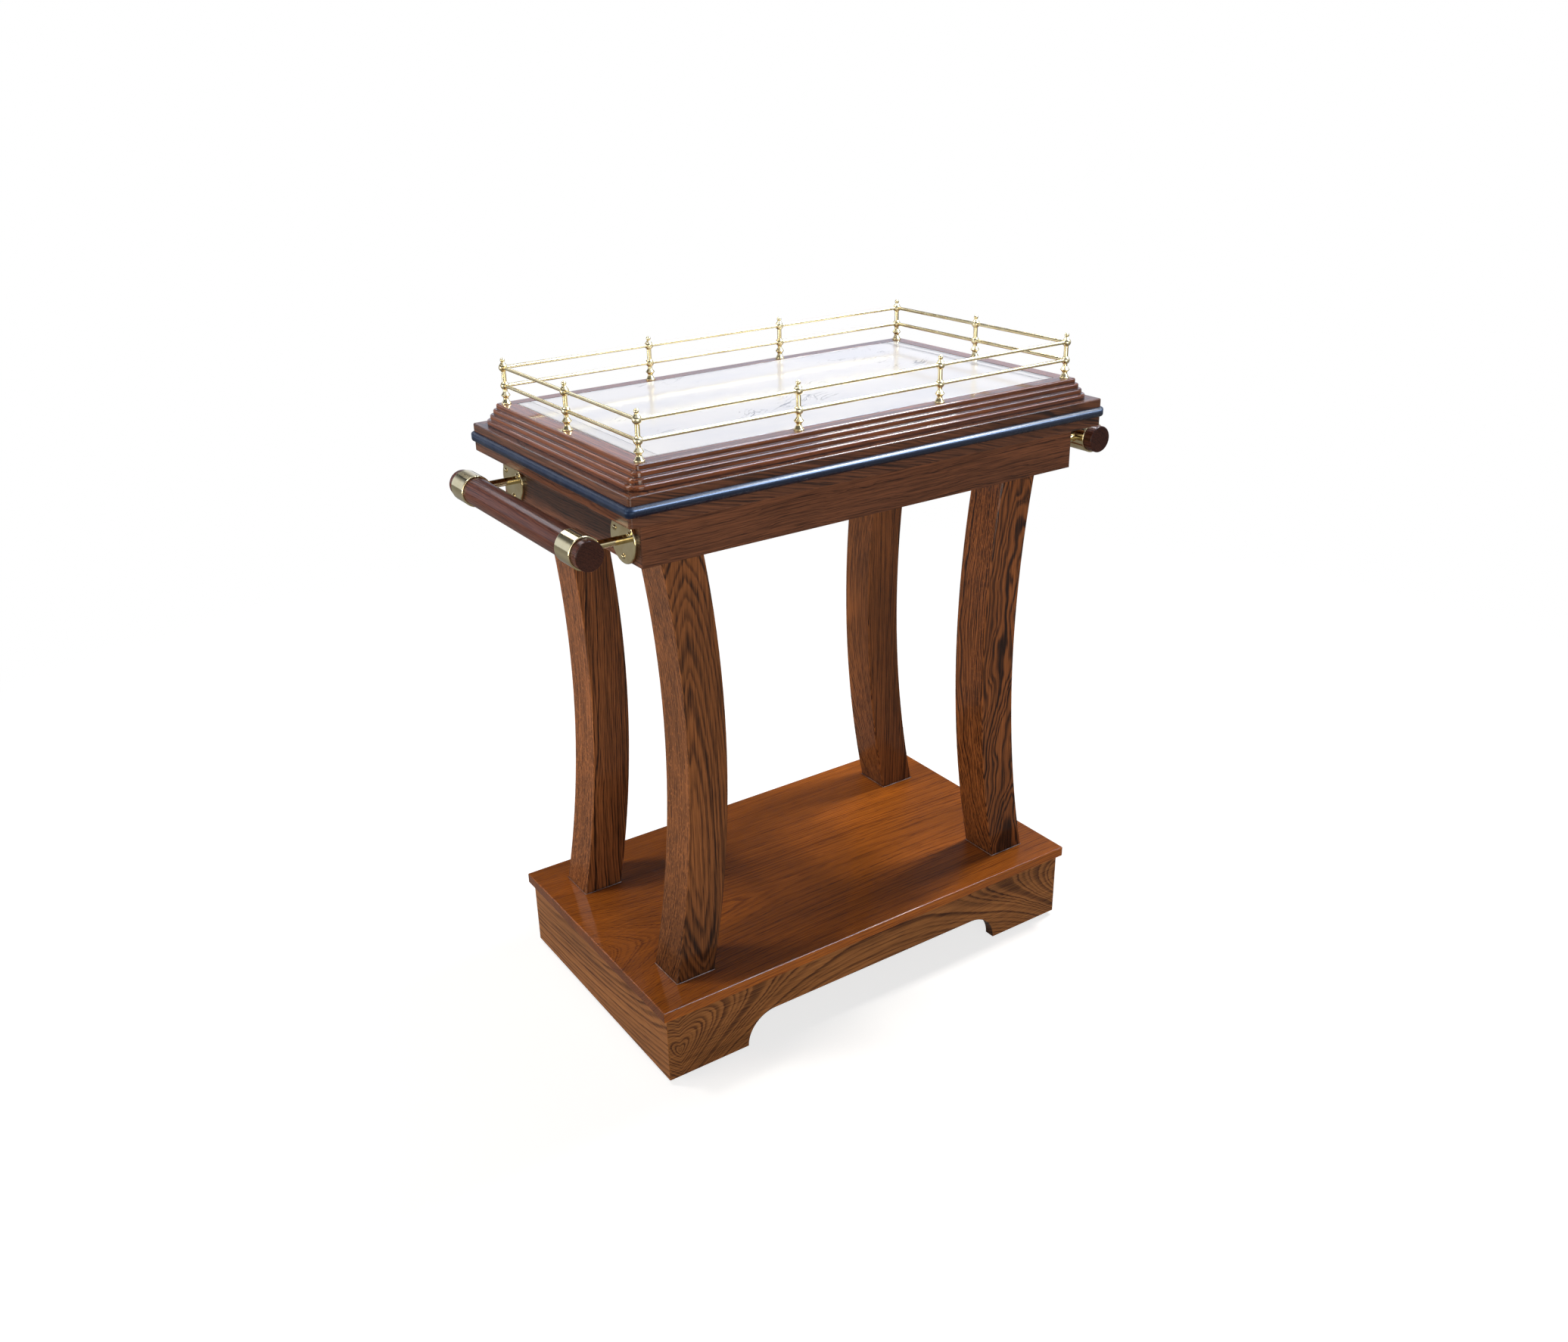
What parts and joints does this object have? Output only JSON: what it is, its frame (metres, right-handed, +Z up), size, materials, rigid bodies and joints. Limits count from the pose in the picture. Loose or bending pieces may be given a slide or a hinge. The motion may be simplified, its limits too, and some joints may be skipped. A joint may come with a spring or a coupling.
{
  "type": "tea trolley",
  "caption": "Wooden tea trolley with bowed legs, a marble top inside a brass gallery, end handles and a plinth over casters.",
  "frame": {"origin": "on the floor, below the middle of the trolley", "axes": "+Z up, X along the trolley from handle to handle, Y across it, the front at -Y"},
  "size_m": [0.8648, 0.455, 0.942],
  "materials": {
    "base_wood": "warm brown stained board, fine straight grain along its length, satin lacquer",
    "skirt_wood": "brown stained board with bold dark grain, satin lacquer",
    "leg_wood": "dark red-brown stained oak, grain along the leg, satin lacquer",
    "apron_wood": "dark red-brown stained board, grain along its length, satin lacquer",
    "top_wood": "dark red-brown stained board, grain along its length, satin lacquer",
    "moulding_wood": "dark red-brown stained moulding, glossy lacquer along the rounded noses",
    "handle_wood": "reddish turned hardwood, glossy lacquer",
    "hidden_ply": "bare plywood, out of sight",
    "marble": "white marble with faint grey-blue veins, polished",
    "brass": "polished pale gold brass",
    "rubber": "dark blue-black rubber, half gloss",
    "zinc_steel": "zinc-plated steel, satin",
    "wheel_tread": "dark grey caster wheel, matt"
  },
  "bodies": {
    "root": {"base_board": "base_wood", "corner_blocks": "hidden_ply", "marble_bed": "hidden_ply", "skirt_front": "skirt_wood", "skirt_right": "skirt_wood", "skirt_back": "skirt_wood", "skirt_left": "skirt_wood", "leg_front_left": "leg_wood", "leg_front_right": "leg_wood", "leg_back_left": "leg_wood", "leg_back_right": "leg_wood", "leg_fixings": "zinc_steel", "caster_screws": "zinc_steel", "caster_plates": "zinc_steel", "apron_front": "apron_wood", "apron_right": "apron_wood", "apron_back": "apron_wood", "apron_left": "apron_wood", "top_edge_front": "top_wood", "top_edge_right": "top_wood", "top_edge_back": "top_wood", "top_edge_left": "top_wood", "rubber_bumper": "rubber", "moulding_front": "moulding_wood", "moulding_right": "moulding_wood", "moulding_back": "moulding_wood", "moulding_left": "moulding_wood", "marble_top": "marble", "gallery_post_front_1": "brass", "gallery_post_front_2": "brass", "gallery_post_front_3": "brass", "gallery_post_front_4": "brass", "gallery_post_back_1": "brass", "gallery_post_back_2": "brass", "gallery_post_back_3": "brass", "gallery_post_back_4": "brass", "gallery_post_left": "brass", "gallery_post_right": "brass", "upper_rails": "brass", "lower_rails": "brass", "handle_collars_left": "brass", "handle_collars_right": "brass", "handle_arms_left": "brass", "handle_arms_right": "brass", "handle_rosettes": "brass", "rosette_screws": "brass", "handle_bar_left": "handle_wood", "handle_bar_right": "handle_wood"},
    "caster_front_left": {"caster_fork_front_left": "zinc_steel", "caster_axle_front_left": "zinc_steel"},
    "wheel_front_left": {"caster_wheel_front_left": "wheel_tread"},
    "caster_front_right": {"caster_fork_front_right": "zinc_steel", "caster_axle_front_right": "zinc_steel"},
    "wheel_front_right": {"caster_wheel_front_right": "wheel_tread"},
    "caster_back_left": {"caster_fork_back_left": "zinc_steel", "caster_axle_back_left": "zinc_steel"},
    "wheel_back_left": {"caster_wheel_back_left": "wheel_tread"},
    "caster_back_right": {"caster_fork_back_right": "zinc_steel", "caster_axle_back_right": "zinc_steel"},
    "wheel_back_right": {"caster_wheel_back_right": "wheel_tread"}
  },
  "joints": [
    {"name": "swivel_front_left", "type": "hinge", "parent": "root", "child": "caster_front_left", "pos_m": [-0.29, -0.138, 0.065], "axis": [0, 0, 1], "continuous": true},
    {"name": "roll_front_left", "type": "hinge", "parent": "caster_front_left", "child": "wheel_front_left", "pos_m": [-0.312, -0.138, 0.025], "axis": [0, 1, 0], "continuous": true},
    {"name": "swivel_front_right", "type": "hinge", "parent": "root", "child": "caster_front_right", "pos_m": [0.29, -0.138, 0.065], "axis": [0, 0, 1], "continuous": true},
    {"name": "roll_front_right", "type": "hinge", "parent": "caster_front_right", "child": "wheel_front_right", "pos_m": [0.268, -0.138, 0.025], "axis": [0, 1, 0], "continuous": true},
    {"name": "swivel_back_left", "type": "hinge", "parent": "root", "child": "caster_back_left", "pos_m": [-0.29, 0.138, 0.065], "axis": [0, 0, 1], "continuous": true},
    {"name": "roll_back_left", "type": "hinge", "parent": "caster_back_left", "child": "wheel_back_left", "pos_m": [-0.312, 0.138, 0.025], "axis": [0, 1, 0], "continuous": true},
    {"name": "swivel_back_right", "type": "hinge", "parent": "root", "child": "caster_back_right", "pos_m": [0.29, 0.138, 0.065], "axis": [0, 0, 1], "continuous": true},
    {"name": "roll_back_right", "type": "hinge", "parent": "caster_back_right", "child": "wheel_back_right", "pos_m": [0.268, 0.138, 0.025], "axis": [0, 1, 0], "continuous": true}
  ]
}
